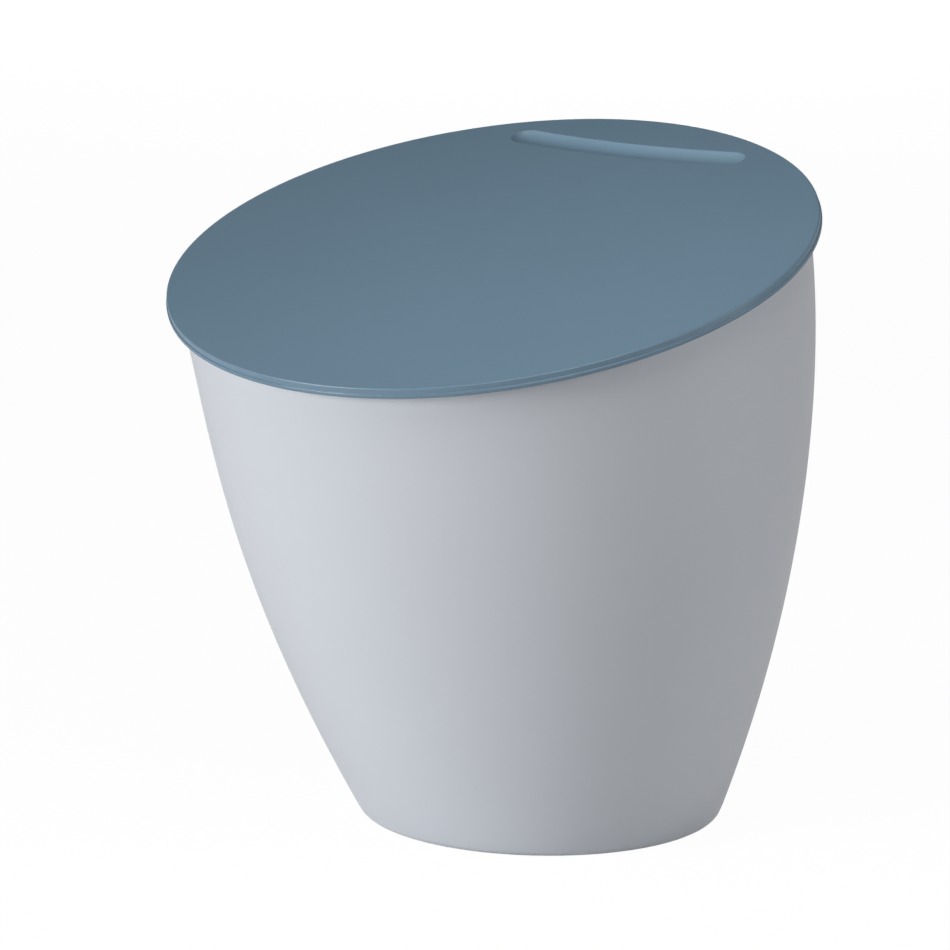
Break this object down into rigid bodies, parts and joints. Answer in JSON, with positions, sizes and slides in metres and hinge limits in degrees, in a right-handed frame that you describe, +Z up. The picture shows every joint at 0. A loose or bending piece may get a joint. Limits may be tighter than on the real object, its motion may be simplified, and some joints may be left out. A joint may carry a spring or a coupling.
{
  "type": "compost bin",
  "caption": "Round table-top kitchen compost bin with a flared body, a slanted mouth and a flat overhanging lift-off lid with a curved grip groove.",
  "frame": {"origin": "on the table plane, in the middle of the whole object's outline seen from above", "axes": "+Z up, -Y to the low front of the slanted mouth, +Y to its high back; the object is symmetric about the plane x = 0"},
  "size_m": [0.184, 0.1838, 0.1936],
  "materials": {
    "body_plastic": "moulded, semi-gloss, pale cool grey",
    "lid_plastic": "moulded, fine satin, grey-blue"
  },
  "bodies": {
    "bin": {"bin_body": "body_plastic"},
    "lid": {"lid": "lid_plastic"}
  },
  "joints": [
    {"name": "lid_lift", "type": "slide", "parent": "bin", "child": "lid", "axis": [0, -0.2756, 0.9613], "range_m": [0, 0.2]}
  ]
}
